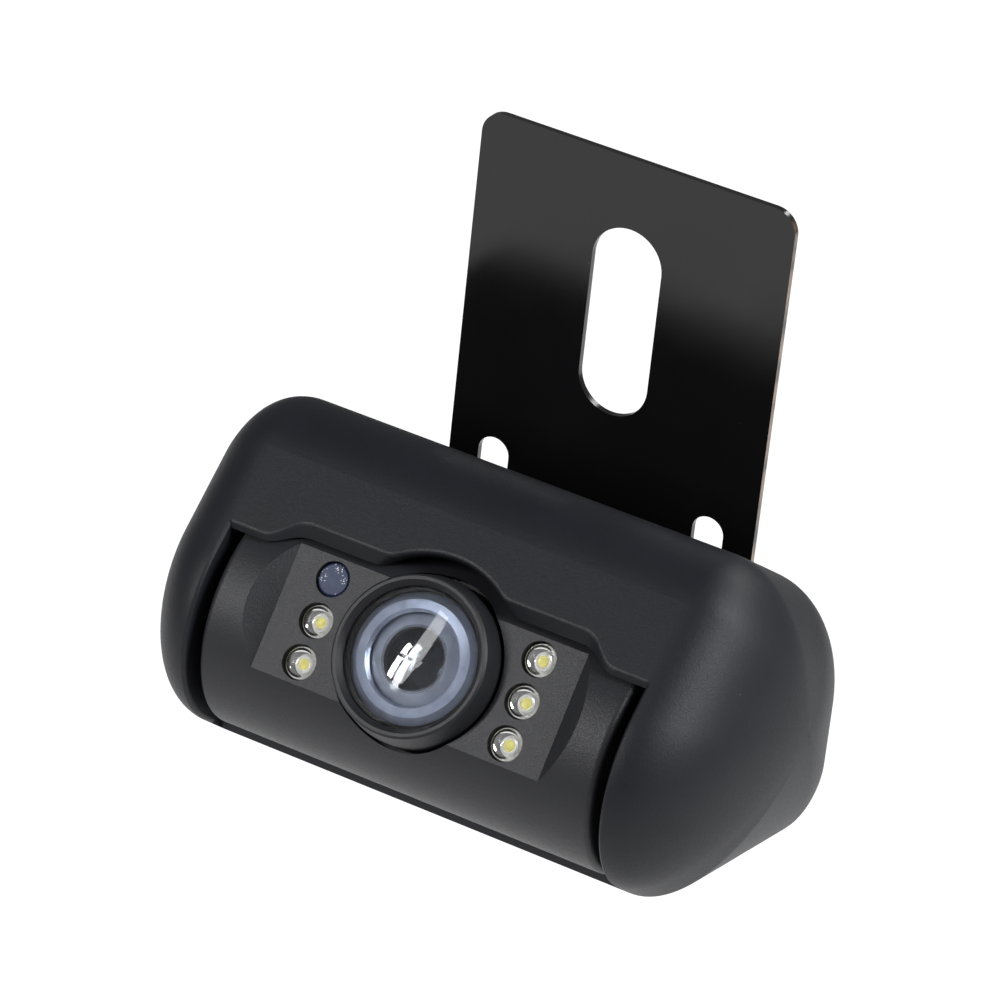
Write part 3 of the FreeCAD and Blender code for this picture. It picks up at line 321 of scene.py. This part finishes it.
def shell_looks():
    """Pairs of a material and the nodes that wear it, for the bracket, plastics and rubber."""
    hood = moulded("hood_plastic", HOOD_BLACK, roughness=0.48, grain=0.2, depth=0.03, specular=0.27)
    drum = moulded("drum_plastic", DRUM_BLACK, roughness=0.45, grain=0.22, depth=0.05, specular=0.31)
    bezel = moulded("bezel_plastic", BEZEL_BLACK, roughness=0.44, grain=0.22, depth=0.005, specular=0.22)
    inner = moulded("inner_plastic", INNER_BLACK, roughness=0.6, grain=0.3, depth=0.01, specular=0.25)
    bush = moulded("bush_plastic", ACETAL, roughness=0.4, grain=0.4, depth=0.004, specular=0.5)
    black_rubber = rubber("black_rubber", (0.016, 0.016, 0.017))
    return [
        (bracket_paint(), ["bracket_plate"]),
        (hood, ["hood_shell", "rear_cover"]),
        (drum, ["drum_front_shell", "drum_rear_shell"]),
        (bezel, ["lens_bezel"]),
        (inner, ["lens_sleeve", "lens_holder"]),
        (bush, ["pivot_bush_left", "pivot_bush_right"]),
        (black_rubber, ["cable_grommet", "drum_cable_gland", "glass_o_ring"]),
        (rubber("seal_rubber", (0.06, 0.06, 0.06)), ["drum_seal"]),
    ]


def metal_looks():
    """The same pairs for screws, inserts and the lens's metal parts."""
    steel_parts = ["bracket_screws", "bracket_washers", "pivot_screws", "friction_washers",
                   "lens_holder_screws"]
    black_steel = metal("black_screw", (0.05, 0.05, 0.052), roughness=0.35)
    brass = metal("brass", (0.75, 0.55, 0.26), roughness=0.3)
    return [
        (metal("steel", (0.58, 0.58, 0.6), roughness=0.25), steel_parts),
        (black_steel, ["rear_cover_screws", "drum_screws"]),
        (brass, ["bracket_inserts", "pivot_inserts", "board_standoffs"]),
        (metal("black_anodised", (0.04, 0.04, 0.045), roughness=0.4), ["lens_barrel"]),
        (frosted_ring(), ["lens_retaining_ring"]),
    ]


def camera_looks():
    """The same pairs for boards, glass, LEDs and sensors."""
    boards = ["camera_board", "power_board", "led_board_left", "led_board_right"]
    white_leds = ["white_led_%d" % number for number in range(1, 6)]
    optic = clear("inner_lens", (0.85, 0.9, 1.0), ior=1.6)
    return [
        (circuit_board(), boards),
        (package("sensor_package", (0.03, 0.03, 0.035), roughness=0.3), ["image_sensor"]),
        (package("connector_nylon", (0.72, 0.7, 0.62), roughness=0.4), ["board_connector"]),
        (clear("cover_glass", (0.97, 0.985, 1.0), ior=1.42), ["cover_glass"]),
        (lens_frost_and_painted_reflection(), ["front_lens_element"]),
        (optic, ["middle_lens_element", "rear_lens_element"]),
        (clear("led_epoxy", (1.0, 1.0, 0.99), ior=1.48), white_leds),
        (sensor_face(), ["light_sensor"]),
    ]


def dress_nodes():
    """Gives each CAD node its material."""
    dressed = set()
    for material, names in shell_looks() + metal_looks() + camera_looks():
        for name in names:
            mesh = NODES[name].data
            mesh.materials.clear()
            mesh.materials.append(material)
            dressed.add(name)
    missing = set(NODES) - dressed
    if missing:
        raise RuntimeError("no material for %s" % sorted(missing))


# --------------------------------------------------------------------- pieces

LATHE_SIDES = 48
SHARP_ANGLE = math.radians(35)


def add_to_scene(name, data):
    """A new object in the scene."""
    made = bpy.data.objects.new(name, data)
    bpy.context.scene.collection.objects.link(made)
    return made


def turned_ring(bm, radius, height):
    """The points of a circle about Z, or the one point on the axis."""
    if radius == 0:
        return [bm.verts.new((0, 0, height))]
    ring = []
    for step in range(LATHE_SIDES):
        angle = 2 * math.pi * step / LATHE_SIDES
        ring.append(bm.verts.new((radius * math.cos(angle), radius * math.sin(angle), height)))
    return ring


def turned_mesh(name, outline):
    """A closed mesh turned about Z; an outline that starts and ends off the axis makes a ring."""
    bm = bmesh.new()
    rings = [turned_ring(bm, radius * MM, height * MM) for radius, height in outline]
    pairs = list(zip(rings, rings[1:]))
    if len(rings[0]) > 1 and len(rings[-1]) > 1:
        pairs.append((rings[-1], rings[0]))
    for lower, upper in pairs:
        for step in range(LATHE_SIDES):
            following = (step + 1) % LATHE_SIDES
            corners = [lower[step % len(lower)], lower[following % len(lower)],
                       upper[following % len(upper)], upper[step % len(upper)]]
            corners = list(dict.fromkeys(corners))
            if len(corners) > 2:
                bm.faces.new(corners)
    bmesh.ops.recalc_face_normals(bm, faces=bm.faces)
    mesh = bpy.data.meshes.new(name)
    bm.to_mesh(mesh)
    bm.free()
    mesh.polygons.foreach_set("use_smooth", [True] * len(mesh.polygons))
    mesh.set_sharp_from_angle(angle=SHARP_ANGLE)
    return mesh


def lathe(name, outline, place, material, body):
    """A piece on a body, turned from an outline of (radius, height) in mm and put in its place."""
    mesh = turned_mesh(name, outline)
    mesh.materials.append(material)
    piece = add_to_scene(name, mesh)
    piece.matrix_world = place
    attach(piece, body)
    return piece


def led_parts():
    """Name, outline, material and slot of the cup, the white ring and the yellow chip in an LED."""
    rim, well = CUP_RIM, CUP_WELL
    base = well + 0.02
    cup = [(0, well - 0.6), (1.6, well - 0.6), (2.25, rim - 0.3), (2.3, rim), (2.15, rim),
           (1.8, rim - 0.5), (1.3, well + 0.15), (1.0, well), (0, well)]
    ring = [(0.5, base), (0.82, base), (0.84, well + 0.2), (0.74, well + 0.32), (0.58, well + 0.3)]
    chip = [(0, base), (0.48, base), (0.48, well + 0.28), (0.38, well + 0.36), (0, well + 0.4)]
    chrome = metal("led_chrome", (0.95, 0.95, 0.93), roughness=0.1, scratch=0.5)
    # the LED's white ring gets a painted glow
    white = package("led_white_painted_glow", (0.97, 0.97, 0.95), roughness=0.5, painted_glow=0.12)
    return [
        ("cup", cup, chrome, "ring_metal"),
        ("ring", ring, white, "connector_white"),
        ("phosphor", chip, phosphor(), "connector_white"),
    ]


def led_insides():
    """What shows through the domes of the five LEDs; the light sensor has the sixth place."""
    parts = led_parts()
    number = 0
    for side in (1, -1):
        for row in (1, 0, -1):
            if side < 0 and row == 1:
                continue
            number += 1
            spot = Vector((LED_COLUMN * side, LED_PITCH * row, 0)) * MM
            place = DRUM_FRAME @ Matrix.Translation(spot)
            for part, outline, material, slot in parts:
                piece = lathe("led_%s_%d" % (part, number), outline, place, material, "drum")


# ---------------------------------------------------------------------- stage

# the floor's half width and its depth below the model, in metres
FLOOR_HALF = 1.1
FLOOR_DROP = 0.3

# the floor's own light, which keeps it pale under dim lamps
FLOOR_GLOW = 0.98


def floor():
    """A wide pale floor, well below the model."""
    level = cad_low.z - FLOOR_DROP
    bm = bmesh.new()
    corners = []
    for x, y in ((-1, -1), (1, -1), (1, 1), (-1, 1)):
        corners.append(bm.verts.new((x * FLOOR_HALF, y * FLOOR_HALF, level)))
    bm.faces.new(corners)
    mesh = bpy.data.meshes.new("floor")
    bm.to_mesh(mesh)
    bm.free()
    shader = Shader("floor", Roughness=0.9)
    shader.set("Specular IOR Level", 0.1)
    shader.set("Emission Color", WHITE)
    shader.set("Emission Strength", FLOOR_GLOW)
    shader.colour(shader.mix(shader.noise(400.0), (0.14, 0.14, 0.14), (0.16, 0.16, 0.16)))
    mesh.materials.append(shader.material)
    add_to_scene("floor", mesh)


def direction(turn, rise):
    """The unit vector towards something at that azimuth and elevation, in degrees."""
    turn, rise = math.radians(turn), math.radians(rise)
    level = math.cos(rise)
    return Vector((math.sin(turn) * level, -math.cos(turn) * level, math.sin(rise)))


def softbox(name, turn, rise, distance, size, power, colour=(1, 1, 1)):
    """A rectangular light, aimed at the model's middle from that azimuth, elevation and distance."""
    light = bpy.data.lights.new(name, "AREA")
    light.shape = "RECTANGLE"
    light.size, light.size_y = size
    light.energy = power
    light.color = colour
    lamp = add_to_scene(name, light)
    towards = direction(turn, rise)
    lamp.location = (cad_low + cad_high) / 2 + towards * distance
    lamp.rotation_euler = towards.to_track_quat("Z", "Y").to_euler()


# (sine of the elevation, brightness), from the horizon up to overhead
ROOM = ((0.0, 0.2), (0.12, 0.22), (0.35, 0.22), (0.6, 0.18), (1.0, 0.12))
ROOM_BLUE = 1.03


def room():
    """A dim room that darkens overhead, and a pale backdrop that only the camera sees."""
    world = bpy.data.worlds.new("room")
    world.use_nodes = True
    tree = world.node_tree
    background = tree.nodes["Background"]
    place = tree.nodes.new("ShaderNodeTexCoord")
    split = tree.nodes.new("ShaderNodeSeparateXYZ")
    fade = tree.nodes.new("ShaderNodeValToRGB")
    tree.links.new(place.outputs["Generated"], split.inputs[0])
    tree.links.new(split.outputs["Z"], fade.inputs["Fac"])
    tree.links.new(fade.outputs["Color"], background.inputs["Color"])
    backdrop = tree.nodes.new("ShaderNodeBackground")
    backdrop.inputs["Color"].default_value = WHITE
    seen = tree.nodes.new("ShaderNodeLightPath")
    either = tree.nodes.new("ShaderNodeMixShader")
    tree.links.new(seen.outputs["Is Camera Ray"], either.inputs[0])
    tree.links.new(background.outputs[0], either.inputs[1])
    tree.links.new(backdrop.outputs[0], either.inputs[2])
    tree.links.new(either.outputs[0], tree.nodes["World Output"].inputs["Surface"])
    steps = fade.color_ramp.elements
    while len(steps) < len(ROOM):
        steps.new(0.5)
    for step, (height, level) in zip(steps, ROOM):
        step.position = height
        step.color = (level, level, level * ROOM_BLUE, 1.0)
    bpy.context.scene.world = world


def studio():
    """The room and three lamps."""
    room()
    softbox("left", turn=-29, rise=27, distance=0.6, size=(0.05, 0.3), power=3.0)
    softbox("right", turn=92, rise=34, distance=1.0, size=(0.3, 0.7), power=13.0,
            colour=(0.97, 0.99, 1.0))
    softbox("behind", turn=150, rise=40, distance=1.2, size=(0.8, 0.3), power=7.0)
    bpy.context.scene.view_settings.view_transform = "Standard"


# where the camera stands, in degrees and mm
CAMERA_TURN = 27.335
CAMERA_RISE = 29.810
CAMERA_ROLL = 6.241
CAMERA_DISTANCE = 773.22
CAMERA_LENS = 201.16
CAMERA_SENSOR = 36.0
NEAR_CLIP = 0.05

# the top edge of the bracket's front face, and how far right and up of it the camera aims, in mm
BRACKET_TOP = Vector((0, -1.0, 25.5))
CAMERA_AIM = (-19.242, -46.907)


def camera():
    """A long-lensed camera in front of the model, raised and turned towards +X."""
    back = direction(CAMERA_TURN, CAMERA_RISE)
    level = Vector((-back.y, back.x, 0))
    level.normalize()
    upright = back.cross(level)
    roll = math.radians(CAMERA_ROLL)
    right = level * math.cos(roll) + upright * math.sin(roll)
    up = upright * math.cos(roll) - level * math.sin(roll)
    aim = BRACKET_TOP + right * CAMERA_AIM[0] + up * CAMERA_AIM[1]
    made = bpy.data.cameras.new("camera")
    made.lens = CAMERA_LENS
    made.sensor_width = CAMERA_SENSOR
    made.clip_start = NEAR_CLIP
    thing = add_to_scene("camera", made)
    turn = Matrix((right, up, back)).transposed().to_4x4()
    thing.matrix_world = Matrix.Translation((aim + back * CAMERA_DISTANCE) * MM) @ turn
    bpy.context.scene.camera = thing


def main():
    dress_nodes()
    led_insides()
    floor()
    studio()
    camera()


main()
